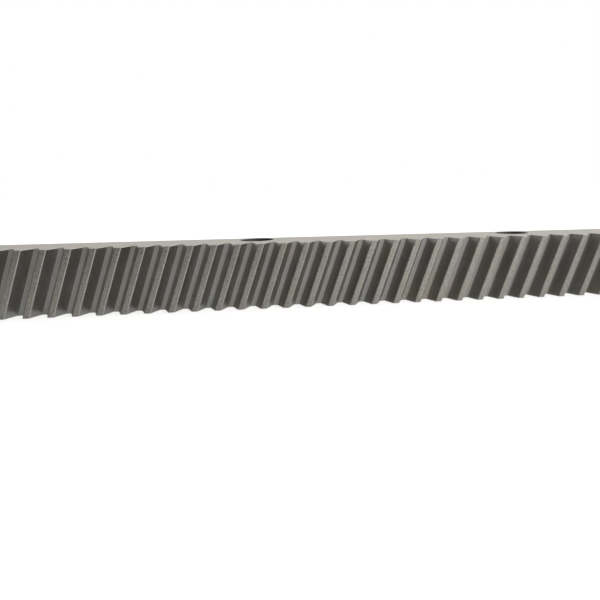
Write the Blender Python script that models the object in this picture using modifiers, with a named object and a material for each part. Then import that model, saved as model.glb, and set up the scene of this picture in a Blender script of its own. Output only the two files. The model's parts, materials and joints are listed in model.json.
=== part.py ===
"""Helical rack bar and the bearing-mounted pinion unit that runs along it. Metres, +Z up.

The origin is the middle of the bar's lower side face. X runs along the bar and its teeth face -Y.
The pinion unit is modelled about its own vertical axis, which is the origin of the empty it hangs on.
"""

import math

import bmesh
import bpy
from mathutils import Matrix

MM = 0.001

# Gearing: the tooth spacing along the bar is a round 10 mm, which fixes the helix angle.
MODULE = 3 * MM
PITCH = 10 * MM
HELIX = math.acos(math.pi * MODULE / PITCH)
LEAN = math.tan(HELIX)
PRESSURE_ANGLE = math.atan(math.tan(math.radians(20)) / math.cos(HELIX))
ADDENDUM = MODULE
DEDENDUM = 1.25 * MODULE
PINION_TEETH = 20
PITCH_RADIUS = PINION_TEETH * PITCH / (2 * math.pi)
BACKLASH = 0.3 * MM

# Rack bar
BAR_TEETH = 50
BAR_LENGTH = BAR_TEETH * PITCH
BAR_DEPTH = 29 * MM
BAR_WIDTH = 29 * MM
TIP_Y = -BAR_DEPTH / 2
TIP_CHAMFER = 0.15 * MM
ROOT_FILLET = 0.25 * MM
BACK_CHAMFER = 0.8 * MM
HOLE_Y = BAR_DEPTH / 2 - 9 * MM
SCREW_HOLE_SPACING = 125 * MM
SCREW_HOLE_RADIUS = 4.5 * MM
COUNTERBORE_RADIUS = 7.75 * MM
COUNTERBORE_DEPTH = 9 * MM
MOUTH_CHAMFER = 0.25 * MM
DOWEL_HOLE_RADIUS = 3.85 * MM
DOWEL_INSET = 35 * MM
OVERRUN = 2 * MM

# Pinion unit
HOME_X = 200 * MM
AXIS_Y = TIP_Y + ADDENDUM - PITCH_RADIUS - 0.05 * MM
FIT_GAP = 0.3 * MM
PINION_BOTTOM = 0.5 * MM
PINION_TOP = 28.5 * MM
PINION_RECESS_RADIUS = 18 * MM
PINION_RECESS_TOP = 6.5 * MM
SHAFT_RADIUS = 12.2 * MM
BORE_RADIUS = SHAFT_RADIUS + FIT_GAP
DRIVE_RADIUS = 10 * MM
SHAFT_BOTTOM = 8 * MM
SHAFT_TOP = 138 * MM
SHOULDER_RADIUS = 15 * MM
SHOULDER_BOTTOM = 55.3 * MM
SHOULDER_TOP = 70 * MM
DRIVE_BOTTOM = 100 * MM
CLIP_GROOVE_RADIUS = 11.4 * MM
CLIP_BOTTOM = 86 * MM
CLIP_TOP = 87.3 * MM
PINION_KEY_LOW, PINION_KEY_HIGH = 9.5 * MM, 27.5 * MM
PINION_KEY_WIDTH, PINION_KEY_FOOT, PINION_KEY_CREST = 7.4 * MM, 8.5 * MM, 15.5 * MM
DRIVE_KEY_LOW, DRIVE_KEY_HIGH = 105.3 * MM, 132.7 * MM
DRIVE_KEY_WIDTH, DRIVE_KEY_FOOT, DRIVE_KEY_CREST = 5.4 * MM, 6.8 * MM, 12.6 * MM
END_SCREW_RADIUS = 4 * MM
END_SCREW_TOP = 24 * MM
END_SCREW_HEAD_RADIUS = 8.1 * MM
WASHER_RADIUS = 17 * MM
WASHER_BOTTOM, WASHER_TOP = 1.4 * MM, 6.2 * MM
BEARING_WIDTH = 15 * MM
BEARING_RADIUS = 26 * MM
BALL_CIRCLE_RADIUS = 19.25 * MM
BALL_RADIUS = 3.9 * MM
BALLS = 9
INNER_LAND_RADIUS = 16.3 * MM
OUTER_LAND_RADIUS = 22.2 * MM
GROOVE_DEPTH = 1.2 * MM
CAGE_THICKNESS = 1.6 * MM
CAGE_WIDTH = 3 * MM
LOWER_BEARING_MID = SHOULDER_BOTTOM - FIT_GAP - BEARING_WIDTH / 2
UPPER_BEARING_MID = SHOULDER_TOP + FIT_GAP + BEARING_WIDTH / 2
SPACER_RADIUS = 16 * MM
COVER_BOTTOM = 33 * MM
HOUSING_BOTTOM = 39.3 * MM
HOUSING_TOP = 92 * MM
COVER_SEAT_TOP = 91 * MM
TOP_COVER_RADIUS = 36 * MM
FLANGE_BOTTOM = 80 * MM
FLANGE_RADIUS = 50 * MM
BARREL_RADIUS = 38 * MM
COVER_TOP = 98.3 * MM
SEAL_SEAT_RADIUS = 20 * MM
FLANGE_HOLE_CIRCLE = 44 * MM
FLANGE_HOLE_RADIUS = 4.5 * MM
COVER_SCREW_CIRCLE = 31.5 * MM
COVER_SCREW_RADIUS = 2.5 * MM
COVER_SCREW_LENGTH = 15 * MM
COVER_SCREW_SOCKET_RADIUS = 2.1 * MM
GREASE_HEIGHT = 64.5 * MM
NIPPLE_RADIUS = 3 * MM
NIPPLE_REACH = 8 * MM

TURNED_STEPS = 60
SMALL_STEPS = 36
SCREW_STEPS = 16
CHAMFER = 0.5 * MM

BARE_STEEL = ((0.30, 0.30, 0.28), 0.42, 0.9)
GROUND_STEEL = ((0.55, 0.55, 0.54), 0.30, 1.0)
BLACK_STEEL = ((0.05, 0.05, 0.055), 0.45, 0.8)
CAST_GREY = ((0.20, 0.21, 0.22), 0.60, 0.4)
BRASS = ((0.60, 0.45, 0.18), 0.35, 1.0)
RUBBER = ((0.03, 0.03, 0.03), 0.70, 0.0)


def clear_scene():
    for obj in list(bpy.data.objects):
        bpy.data.objects.remove(obj, do_unlink=True)


def new_collection(name):
    collection = bpy.data.collections.new(name)
    bpy.context.scene.collection.children.link(collection)
    return collection


def new_material(name, finish):
    colour, roughness, metallic = finish
    mat = bpy.data.materials.new(name)
    mat.use_nodes = True
    shader = mat.node_tree.nodes["Principled BSDF"]
    shader.inputs["Base Color"].default_value = (*colour, 1.0)
    shader.inputs["Roughness"].default_value = roughness
    shader.inputs["Metallic"].default_value = metallic
    return mat


def new_object(name, mesh, collection, parent=None, location=(0, 0, 0), rotation=(0, 0, 0)):
    obj = bpy.data.objects.new(name, mesh)
    collection.objects.link(obj)
    obj.parent = parent
    obj.location = location
    obj.rotation_euler = rotation
    return obj


def mesh_from(bm, name):
    bmesh.ops.recalc_face_normals(bm, faces=bm.faces[:])
    mesh = bpy.data.meshes.new(name)
    bm.to_mesh(mesh)
    bm.free()
    return mesh


def box_mesh(name, low, high):
    """A box between two corners."""
    bm = bmesh.new()
    bmesh.ops.create_cube(bm, size=1)
    size = [b - a for a, b in zip(low, high)]
    middle = [(a + b) / 2 for a, b in zip(low, high)]
    matrix = Matrix.Translation(middle) @ Matrix.Diagonal((*size, 1))
    bmesh.ops.transform(bm, matrix=matrix, verts=bm.verts[:])
    return mesh_from(bm, name)


def turned(name, outline, collection, steps, parent=None, location=(0, 0, 0), rotation=(0, 0, 0)):
    """A body turned from (radius, height) points that run down its outer side.

    An outline that starts on the axis is open and ends on it too. Any other is a ring's closed section.
    """
    bm = bmesh.new()
    verts = [bm.verts.new((radius, 0, height)) for radius, height in outline]
    ends = verts[1:] if outline[0][0] == 0 else verts[1:] + verts[:1]
    for start, end in zip(verts, ends):
        bm.edges.new((start, end))
    mesh = bpy.data.meshes.new(name)
    bm.to_mesh(mesh)
    bm.free()
    obj = new_object(name, mesh, collection, parent, location, rotation)
    screw = obj.modifiers.new("turn", "SCREW")
    screw.steps = screw.render_steps = steps
    screw.use_merge_vertices = True
    screw.merge_threshold = 0.00001
    return obj


def add_boolean(target, tool, operation="DIFFERENCE"):
    tool.hide_render = True
    tool.display_type = "WIRE"
    boolean = target.modifiers.new(tool.name, "BOOLEAN")
    boolean.operation = operation
    boolean.solver = "EXACT"
    boolean.object = tool


def drill(target, outline, centres, cutters, steps=SCREW_STEPS):
    """Cuts the same turned hole at each centre, in the frame that the target hangs on."""
    for index, centre in enumerate(centres):
        name = f"{target.name}_hole_{centre[2] * 1000:.0f}_{index + 1}"
        add_boolean(target, turned(name, outline, cutters, steps, target.parent, centre))


def add_bevel(obj, width):
    bevel = obj.modifiers.new("edges", "BEVEL")
    bevel.width = width
    bevel.segments = 1
    bevel.limit_method = "ANGLE"


def finish(obj, look):
    """Settles the modifiers into the mesh, and gives it its material and shading."""
    bpy.context.view_layer.update()
    depsgraph = bpy.context.evaluated_depsgraph_get()
    mesh = bpy.data.meshes.new_from_object(obj.evaluated_get(depsgraph))
    obj.modifiers.clear()
    obj.data = mesh
    mesh.name = obj.name
    mesh.materials.clear()
    mesh.materials.append(new_material(obj.name, look))
    mesh.shade_smooth()
    mesh.set_sharp_from_angle(angle=math.radians(32))
    return obj


def on_circle(radius, count, height, start=0.0):
    angles = [start + 2 * math.pi * index / count for index in range(count)]
    return [(radius * math.cos(angle), radius * math.sin(angle), height) for angle in angles]


# Rack bar


def gap_outline():
    """The tooth gap across the bar, from the left tip round the root to the right tip."""
    lean = math.tan(PRESSURE_ANGLE)
    mouth = PITCH / 4 + ADDENDUM * lean
    floor = PITCH / 4 - DEDENDUM * lean
    root = ADDENDUM + DEDENDUM
    right = [
        (floor - ROOT_FILLET, root),
        (floor + ROOT_FILLET * lean, root - ROOT_FILLET),
        (mouth - TIP_CHAMFER * lean, TIP_CHAMFER),
        (mouth + TIP_CHAMFER, 0),
        (mouth + TIP_CHAMFER, -OVERRUN),
    ]
    return [(-x, y) for x, y in reversed(right)] + right


def gap_comb_mesh():
    """One leaning prism for each tooth gap, as long as the bar is wide and a little more."""
    bm = bmesh.new()
    for index in range(-BAR_TEETH // 2 - 1, BAR_TEETH // 2 + 2):
        verts = [bm.verts.new((index * PITCH + x, TIP_Y + y, -OVERRUN)) for x, y in gap_outline()]
        face = bm.faces.new(verts)
        grown = bmesh.ops.extrude_face_region(bm, geom=[face])["geom"]
        top = [item for item in grown if isinstance(item, bmesh.types.BMVert)]
        bmesh.ops.translate(bm, vec=(0, 0, BAR_WIDTH + 2 * OVERRUN), verts=top)
    for vert in bm.verts:
        vert.co.x += (vert.co.z - BAR_WIDTH / 2) * LEAN
    return mesh_from(bm, "tooth_gaps")


def bar_section_mesh():
    """The plain bar, with its two back edges chamfered along their length."""
    low = (-BAR_LENGTH / 2, TIP_Y, 0)
    high = (BAR_LENGTH / 2, TIP_Y + BAR_DEPTH, BAR_WIDTH)
    mesh = box_mesh("rack_bar", low, high)
    bm = bmesh.new()
    bm.from_mesh(mesh)
    long_edges = [
        edge
        for edge in bm.edges
        if all(vert.co.y > 0 for vert in edge.verts) and edge.calc_length() > BAR_LENGTH / 2
    ]
    bmesh.ops.bevel(bm, geom=long_edges, offset=BACK_CHAMFER, segments=1, affect="EDGES")
    bm.to_mesh(mesh)
    bm.free()
    return mesh


def counterbore_outline():
    below, above = -OVERRUN, BAR_WIDTH + OVERRUN
    seat = BAR_WIDTH - COUNTERBORE_DEPTH
    flare = COUNTERBORE_RADIUS + MOUTH_CHAMFER
    return [
        (0, above),
        (flare, above),
        (flare, BAR_WIDTH),
        (COUNTERBORE_RADIUS, BAR_WIDTH - MOUTH_CHAMFER),
        (COUNTERBORE_RADIUS, seat),
        (SCREW_HOLE_RADIUS, seat),
        (SCREW_HOLE_RADIUS, below),
        (0, below),
    ]


def plain_hole_outline(radius, low, high):
    return [(0, high), (radius, high), (radius, low), (0, low)]


def build_rack(parts, cutters):
    bar = new_object("rack_bar", bar_section_mesh(), parts)
    add_boolean(bar, new_object("tooth_gaps", gap_comb_mesh(), cutters))
    screws = [((index - 1.5) * SCREW_HOLE_SPACING, HOLE_Y, 0) for index in range(4)]
    drill(bar, counterbore_outline(), screws, cutters, SMALL_STEPS)
    dowel_x = BAR_LENGTH / 2 - DOWEL_INSET
    dowels = [(side * dowel_x, HOLE_Y, 0) for side in (-1, 1)]
    dowel_outline = plain_hole_outline(DOWEL_HOLE_RADIUS, -OVERRUN, BAR_WIDTH + OVERRUN)
    drill(bar, dowel_outline, dowels, cutters, SMALL_STEPS)
    finish(bar, BARE_STEEL)


# Pinion gear


def involute(angle):
    return math.tan(angle) - angle


def pinion_outline():
    """The pinion's end outline, anticlockwise, with a tooth centred on +X."""
    base_radius = PITCH_RADIUS * math.cos(PRESSURE_ANGLE)
    root_radius = PITCH_RADIUS - DEDENDUM
    tip_radius = PITCH_RADIUS + ADDENDUM
    half_tooth = (PITCH / 2 - BACKLASH) / 2 / PITCH_RADIUS + involute(PRESSURE_ANGLE)
    flank_steps = 3
    flank = []
    for step in range(flank_steps + 1):
        radius = base_radius + (tip_radius - base_radius) * step / flank_steps
        flank.append((radius, half_tooth - involute(math.acos(base_radius / radius))))
    tooth_pitch = 2 * math.pi / PINION_TEETH
    root_angle = (half_tooth + tooth_pitch / 2) / 2
    rising = [(root_radius, root_angle)] + flank
    one_side = [(radius, -angle) for radius, angle in rising]
    tooth = one_side + list(reversed(rising))
    turns = [index * tooth_pitch for index in range(PINION_TEETH)]
    polar = [(radius, angle + turn) for turn in turns for radius, angle in tooth]
    return [(radius * math.cos(angle), radius * math.sin(angle)) for radius, angle in polar]


def pinion_mesh():
    """The outline drawn up the axis in steps, each turned on by the helix, with a tooth facing +Y midway."""
    layers = 5
    bm = bmesh.new()
    verts = [bm.verts.new((x, y, PINION_BOTTOM)) for x, y in pinion_outline()]
    rim = bm.faces.new(verts).edges[:]
    step_height = (PINION_TOP - PINION_BOTTOM) / layers
    step_turn = -step_height * LEAN / PITCH_RADIUS
    start_turn = math.pi / 2 - (PINION_BOTTOM - BAR_WIDTH / 2) * LEAN / PITCH_RADIUS
    bmesh.ops.rotate(bm, matrix=Matrix.Rotation(start_turn, 3, "Z"), verts=verts)
    for _ in range(layers):
        grown = bmesh.ops.extrude_edge_only(bm, edges=rim)["geom"]
        moved = {item for item in grown if isinstance(item, bmesh.types.BMVert)}
        edges = [item for item in grown if isinstance(item, bmesh.types.BMEdge)]
        rim = [edge for edge in edges if moved.issuperset(edge.verts)]
        bmesh.ops.translate(bm, vec=(0, 0, step_height), verts=list(moved))
        bmesh.ops.rotate(bm, matrix=Matrix.Rotation(step_turn, 3, "Z"), verts=list(moved))
    bmesh.ops.contextual_create(bm, geom=rim)
    return mesh_from(bm, "pinion_gear")


def build_pinion(parts, cutters, hub):
    gear = new_object("pinion_gear", pinion_mesh(), parts, hub)
    bore_outline = [
        (0, PINION_TOP + OVERRUN),
        (BORE_RADIUS, PINION_TOP + OVERRUN),
        (BORE_RADIUS, PINION_RECESS_TOP),
        (PINION_RECESS_RADIUS, PINION_RECESS_TOP),
        (PINION_RECESS_RADIUS, PINION_BOTTOM - OVERRUN),
        (0, PINION_BOTTOM - OVERRUN),
    ]
    add_boolean(gear, turned("pinion_bore", bore_outline, cutters, SMALL_STEPS, hub))
    half = PINION_KEY_WIDTH / 2 + FIT_GAP
    low = (0, -half, PINION_RECESS_TOP - OVERRUN)
    high = (PINION_KEY_CREST + FIT_GAP, half, PINION_TOP + OVERRUN)
    keyway = box_mesh("pinion_keyway", low, high)
    add_boolean(gear, new_object("pinion_keyway", keyway, cutters, hub))
    finish(gear, BARE_STEEL)


def build_shaft(parts, cutters, hub):
    end_chamfer = 1 * MM
    thread_radius, thread_top = END_SCREW_RADIUS + FIT_GAP, END_SCREW_TOP + 3 * MM
    outline = [
        (0, SHAFT_TOP),
        (DRIVE_RADIUS - end_chamfer, SHAFT_TOP),
        (DRIVE_RADIUS, SHAFT_TOP - end_chamfer),
        (DRIVE_RADIUS, DRIVE_BOTTOM),
        (SHAFT_RADIUS - CHAMFER, DRIVE_BOTTOM),
        (SHAFT_RADIUS, DRIVE_BOTTOM - CHAMFER),
        (SHAFT_RADIUS, CLIP_TOP + FIT_GAP),
        (CLIP_GROOVE_RADIUS, CLIP_TOP + FIT_GAP),
        (CLIP_GROOVE_RADIUS, CLIP_BOTTOM - FIT_GAP),
        (SHAFT_RADIUS, CLIP_BOTTOM - FIT_GAP),
        (SHAFT_RADIUS, SHOULDER_TOP),
        (SHOULDER_RADIUS, SHOULDER_TOP),
        (SHOULDER_RADIUS, SHOULDER_BOTTOM),
        (SHAFT_RADIUS, SHOULDER_BOTTOM),
        (SHAFT_RADIUS, SHAFT_BOTTOM + end_chamfer),
        (SHAFT_RADIUS - end_chamfer, SHAFT_BOTTOM),
        (thread_radius, SHAFT_BOTTOM),
        (thread_radius, thread_top),
        (0, thread_top + thread_radius / 2),
    ]
    shaft = turned("pinion_shaft", outline, parts, SMALL_STEPS, hub)
    for name, low, high in key_corners(FIT_GAP):
        seat = box_mesh(f"{name}_seat", low, (SHAFT_RADIUS + OVERRUN, *high[1:]))
        add_boolean(shaft, new_object(f"{name}_seat", seat, cutters, hub))
    finish(shaft, GROUND_STEEL)


def key_corners(gap):
    """The name and two corners of each key, or of its seat where gap is the room left round the key."""
    keys = (
        ("pinion_key", PINION_KEY_WIDTH, PINION_KEY_FOOT, PINION_KEY_CREST, PINION_KEY_LOW, PINION_KEY_HIGH),
        ("drive_key", DRIVE_KEY_WIDTH, DRIVE_KEY_FOOT, DRIVE_KEY_CREST, DRIVE_KEY_LOW, DRIVE_KEY_HIGH),
    )
    return [
        (name, (foot - gap, -width / 2 - gap, low - gap), (crest + gap, width / 2 + gap, high + gap))
        for name, width, foot, crest, low, high in keys
    ]


def build_keys(parts, hub):
    for name, low, high in key_corners(0):
        key = new_object(name, box_mesh(name, low, high), parts, hub)
        add_bevel(key, 0.3 * MM)
        finish(key, GROUND_STEEL)


def build_shaft_hardware(parts, cutters, hub):
    """What is slid, clipped and screwed onto the shaft."""
    spacer_top = LOWER_BEARING_MID - BEARING_WIDTH / 2 - FIT_GAP
    spacer_bottom = PINION_TOP + FIT_GAP
    spacer = [
        (SPACER_RADIUS, spacer_top),
        (SPACER_RADIUS, spacer_bottom),
        (BORE_RADIUS, spacer_bottom),
        (BORE_RADIUS, spacer_top),
    ]
    finish(turned("spacer_sleeve", spacer, parts, SMALL_STEPS, hub), GROUND_STEEL)

    clip_radius, clip_bore = 15.6 * MM, CLIP_GROOVE_RADIUS + FIT_GAP
    clip_outline = [
        (clip_radius, CLIP_TOP),
        (clip_radius, CLIP_BOTTOM),
        (clip_bore, CLIP_BOTTOM),
        (clip_bore, CLIP_TOP),
    ]
    clip = turned("shaft_retaining_ring", clip_outline, parts, SMALL_STEPS, hub)
    slot_half = 2.5 * MM
    slot_low = (clip_bore / 2, -slot_half, CLIP_BOTTOM - OVERRUN)
    slot_high = (clip_radius + OVERRUN, slot_half, CLIP_TOP + OVERRUN)
    add_boolean(clip, new_object("clip_slot", box_mesh("clip_slot", slot_low, slot_high), cutters, hub))
    finish(clip, BLACK_STEEL)

    washer_bore = END_SCREW_RADIUS + 0.4 * MM
    washer = [
        (WASHER_RADIUS, WASHER_TOP),
        (WASHER_RADIUS, WASHER_BOTTOM + CHAMFER),
        (WASHER_RADIUS - CHAMFER, WASHER_BOTTOM),
        (END_SCREW_HEAD_RADIUS + CHAMFER, WASHER_BOTTOM),
        (washer_bore, WASHER_BOTTOM + END_SCREW_HEAD_RADIUS + CHAMFER - washer_bore),
        (washer_bore, WASHER_TOP),
    ]
    finish(turned("end_washer", washer, parts, SMALL_STEPS, hub), BLACK_STEEL)

    head_face = WASHER_BOTTOM + 0.2 * MM
    screw_outline = [
        (0, END_SCREW_TOP),
        (END_SCREW_RADIUS - CHAMFER, END_SCREW_TOP),
        (END_SCREW_RADIUS, END_SCREW_TOP - CHAMFER),
        (END_SCREW_RADIUS, head_face + END_SCREW_HEAD_RADIUS - END_SCREW_RADIUS),
        (END_SCREW_HEAD_RADIUS, head_face),
        (0, head_face),
    ]
    screw = turned("end_screw", screw_outline, parts, SMALL_STEPS, hub)
    socket_radius, socket_depth = 2.9 * MM, 3 * MM
    socket_top = head_face + socket_depth
    socket = hex_socket("end_screw_socket", socket_radius, head_face - OVERRUN, socket_top, cutters, hub)
    add_boolean(screw, socket)
    finish(screw, BLACK_STEEL)


def hex_socket(name, radius, low, high, cutters, parent):
    bm = bmesh.new()
    middle = Matrix.Translation((0, 0, (low + high) / 2))
    bmesh.ops.create_cone(
        bm, cap_ends=True, segments=6, radius1=radius, radius2=radius, depth=high - low, matrix=middle
    )
    return new_object(name, mesh_from(bm, name), cutters, parent)


# Bearings


def race_outline(land, groove, far):
    """A bearing ring's section about its middle: its land and ball groove, and the far side."""
    half, mouth, floor = BEARING_WIDTH / 2, 3 * MM, 1.8 * MM
    facing = [(land, half), (land, mouth), (groove, floor), (groove, -floor), (land, -mouth), (land, -half)]
    if far < land:
        return facing + [(far, -half), (far, half)]
    return [(far, half), (far, -half)] + list(reversed(facing))


def build_bearing(which, middle, parts, cutters, frames):
    spindle, carriage, cages = frames
    place = (0, 0, middle)
    inner = race_outline(INNER_LAND_RADIUS, INNER_LAND_RADIUS - GROOVE_DEPTH, BORE_RADIUS)
    outer = race_outline(OUTER_LAND_RADIUS, OUTER_LAND_RADIUS + GROOVE_DEPTH, BEARING_RADIUS)
    finish(turned(f"{which}_inner_ring", inner, parts, SMALL_STEPS, spindle, place), GROUND_STEEL)
    finish(turned(f"{which}_outer_ring", outer, parts, SMALL_STEPS, carriage, place), GROUND_STEEL)
    cage_outer = BALL_CIRCLE_RADIUS + CAGE_THICKNESS / 2
    cage_inner = BALL_CIRCLE_RADIUS - CAGE_THICKNESS / 2
    ribbon = [
        (cage_outer, CAGE_WIDTH / 2),
        (cage_outer, -CAGE_WIDTH / 2),
        (cage_inner, -CAGE_WIDTH / 2),
        (cage_inner, CAGE_WIDTH / 2),
    ]
    cage = turned(f"{which}_ball_cage", ribbon, parts, 3 * BALLS, cages, place)
    bm = bmesh.new()
    for centre in on_circle(BALL_CIRCLE_RADIUS, BALLS, 0):
        bmesh.ops.create_icosphere(bm, subdivisions=1, radius=BALL_RADIUS, matrix=Matrix.Translation(centre))
    balls = new_object(f"{which}_balls", mesh_from(bm, f"{which}_balls"), cutters, cages, place)
    add_boolean(cage, balls, "UNION")
    finish(cage, GROUND_STEEL)


# Housing


def build_housing(parts, cutters, hub):
    wall = BEARING_RADIUS + FIT_GAP
    cover_recess = TOP_COVER_RADIUS + 2 * FIT_GAP
    flange_fillet = 1 * MM
    ledge_bottom, ledge_top, ledge_radius = SHOULDER_BOTTOM, SHOULDER_BOTTOM + 4 * MM, 23.2 * MM
    outline = [
        (FLANGE_RADIUS - CHAMFER, HOUSING_TOP),
        (FLANGE_RADIUS, HOUSING_TOP - CHAMFER),
        (FLANGE_RADIUS, FLANGE_BOTTOM + CHAMFER),
        (FLANGE_RADIUS - CHAMFER, FLANGE_BOTTOM),
        (BARREL_RADIUS + flange_fillet, FLANGE_BOTTOM),
        (BARREL_RADIUS, FLANGE_BOTTOM - flange_fillet),
        (BARREL_RADIUS, HOUSING_BOTTOM + CHAMFER),
        (BARREL_RADIUS - CHAMFER, HOUSING_BOTTOM),
        (wall, HOUSING_BOTTOM),
        (wall, ledge_bottom),
        (ledge_radius, ledge_bottom),
        (ledge_radius, ledge_top),
        (wall, ledge_top),
        (wall, COVER_SEAT_TOP),
        (cover_recess, COVER_SEAT_TOP),
        (cover_recess, HOUSING_TOP),
    ]
    housing = turned("bearing_housing", outline, parts, TURNED_STEPS, hub)
    flange_hole = plain_hole_outline(FLANGE_HOLE_RADIUS, FLANGE_BOTTOM - HOUSING_TOP - OVERRUN, OVERRUN)
    holes = on_circle(FLANGE_HOLE_CIRCLE, 4, HOUSING_TOP, math.pi / 4)
    drill(housing, flange_hole, holes, cutters)
    thread_radius, thread_depth = COVER_SCREW_RADIUS + FIT_GAP, 12 * MM
    upper_thread = plain_hole_outline(thread_radius, -thread_depth, OVERRUN)
    lower_thread = plain_hole_outline(thread_radius, -OVERRUN, thread_depth)
    drill(housing, upper_thread, on_circle(COVER_SCREW_CIRCLE, 4, HOUSING_TOP), cutters)
    drill(housing, lower_thread, on_circle(COVER_SCREW_CIRCLE, 4, HOUSING_BOTTOM), cutters)
    grease_hole_end = BEARING_RADIUS - NIPPLE_REACH
    grease_hole = plain_hole_outline(NIPPLE_RADIUS + FIT_GAP, grease_hole_end, BARREL_RADIUS + OVERRUN)
    grease_cut = turned(
        "grease_hole", grease_hole, cutters, SCREW_STEPS, hub, (0, 0, GREASE_HEIGHT), (math.pi / 2, 0, 0)
    )
    add_boolean(housing, grease_cut)
    finish(housing, CAST_GREY)


def build_nipple(parts, hub):
    """The grease nipple points to -Y from the barrel. Its outline starts at its outer end."""
    seat = BARREL_RADIUS + FIT_GAP
    mouth_radius, head_radius, neck_radius, body_radius = 1.6 * MM, 3.2 * MM, 2.2 * MM, 4.8 * MM
    body_end, neck_start, neck_end, head_start, head_end, mouth = [
        seat + height * MM for height in (3.5, 4.5, 6.5, 8, 9, 11)
    ]
    outline = [
        (0, mouth),
        (mouth_radius, mouth),
        (head_radius, head_end),
        (head_radius, head_start),
        (neck_radius, neck_end),
        (neck_radius, neck_start),
        (body_radius, body_end),
        (body_radius, seat),
        (NIPPLE_RADIUS, seat),
        (NIPPLE_RADIUS, seat - NIPPLE_REACH),
        (0, seat - NIPPLE_REACH),
    ]
    place, facing = (0, 0, GREASE_HEIGHT), (math.pi / 2, 0, 0)
    finish(turned("grease_nipple", outline, parts, SCREW_STEPS, hub, place, facing), BRASS)


def build_covers(parts, cutters, hub):
    spigot, rim_chamfer = BEARING_RADIUS, 1 * MM
    lower_face = HOUSING_BOTTOM - FIT_GAP
    lower_spigot_end = LOWER_BEARING_MID - BEARING_WIDTH / 2 - FIT_GAP
    lower = [
        (spigot, lower_spigot_end),
        (spigot, lower_face),
        (BARREL_RADIUS, lower_face),
        (BARREL_RADIUS, COVER_BOTTOM + rim_chamfer),
        (BARREL_RADIUS - rim_chamfer, COVER_BOTTOM),
        (SEAL_SEAT_RADIUS, COVER_BOTTOM),
        (SEAL_SEAT_RADIUS, lower_spigot_end),
    ]
    upper_face, spigot_end = COVER_SEAT_TOP + FIT_GAP, 88 * MM
    upper = [
        (TOP_COVER_RADIUS - rim_chamfer, COVER_TOP),
        (TOP_COVER_RADIUS, COVER_TOP - rim_chamfer),
        (TOP_COVER_RADIUS, upper_face),
        (spigot, upper_face),
        (spigot, spigot_end),
        (SEAL_SEAT_RADIUS, spigot_end),
        (SEAL_SEAT_RADIUS, COVER_TOP),
    ]
    clearance, sink_depth = COVER_SCREW_RADIUS + FIT_GAP, 2.5 * MM
    thickness = HOUSING_BOTTOM - COVER_BOTTOM
    sink = [
        (0, thickness + OVERRUN),
        (clearance, thickness + OVERRUN),
        (clearance, sink_depth),
        (clearance + sink_depth + 1 * MM, -1 * MM),
        (0, -1 * MM),
    ]
    bottom_cover = turned("bottom_cover", lower, parts, TURNED_STEPS, hub)
    drill(bottom_cover, sink, on_circle(COVER_SCREW_CIRCLE, 4, COVER_BOTTOM), cutters)
    finish(bottom_cover, CAST_GREY)
    top_cover = turned("top_cover", upper, parts, TURNED_STEPS, hub)
    through = plain_hole_outline(clearance, -OVERRUN, COVER_TOP - HOUSING_TOP + OVERRUN)
    drill(top_cover, through, on_circle(COVER_SCREW_CIRCLE, 4, HOUSING_TOP), cutters)
    finish(top_cover, CAST_GREY)


def build_cover_screws(parts, cutters, hub):
    """Sunk screws hold the bottom cover, whose face runs close over the bar, and cap screws the top one."""
    shank, length = COVER_SCREW_RADIUS, COVER_SCREW_LENGTH
    head, head_height = 4.25 * MM, 5 * MM
    sunk_head, sunk_depth = 4.8 * MM, 2.3 * MM
    sunk = [(0, length), (shank, length), (shank, sunk_depth), (sunk_head, 0), (0, 0)]
    cap = [
        (0, head_height),
        (head - CHAMFER, head_height),
        (head, head_height - CHAMFER),
        (head, 0),
        (shank, 0),
        (shank, -length),
        (0, -length),
    ]
    sunk_socket_depth, cap_socket_depth = 1.6 * MM, 2.5 * MM
    kinds = {
        "bottom_cover_screw": (sunk, COVER_BOTTOM + 0.2 * MM, -OVERRUN, sunk_socket_depth),
        "top_cover_screw": (cap, COVER_TOP + FIT_GAP, head_height - cap_socket_depth, head_height + OVERRUN),
    }
    for kind, (outline, height, socket_low, socket_high) in kinds.items():
        centres = on_circle(COVER_SCREW_CIRCLE, 4, height)
        first = turned(f"{kind}_1", outline, parts, SCREW_STEPS, hub, centres[0])
        socket_radius = COVER_SCREW_SOCKET_RADIUS
        socket = hex_socket(f"{kind}_socket", socket_radius, socket_low, socket_high, cutters, hub)
        socket.location = centres[0]
        add_boolean(first, socket)
        finish(first, BLACK_STEEL)
        for index, centre in enumerate(centres[1:], start=2):
            new_object(f"{kind}_{index}", first.data, parts, hub, centre)


def build_seals(parts, hub):
    rim, inset = SEAL_SEAT_RADIUS - FIT_GAP, 0.4 * MM
    seals = {
        "lower_shaft_seal": (SPACER_RADIUS + FIT_GAP, COVER_BOTTOM + inset, HOUSING_BOTTOM - inset),
        "upper_shaft_seal": (SHAFT_RADIUS + FIT_GAP, COVER_SEAT_TOP, COVER_TOP - inset),
    }
    for name, (lip, low, high) in seals.items():
        outline = [(rim, high), (rim, low), (lip, low), (lip, high)]
        finish(turned(name, outline, parts, SMALL_STEPS, hub), RUBBER)


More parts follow.
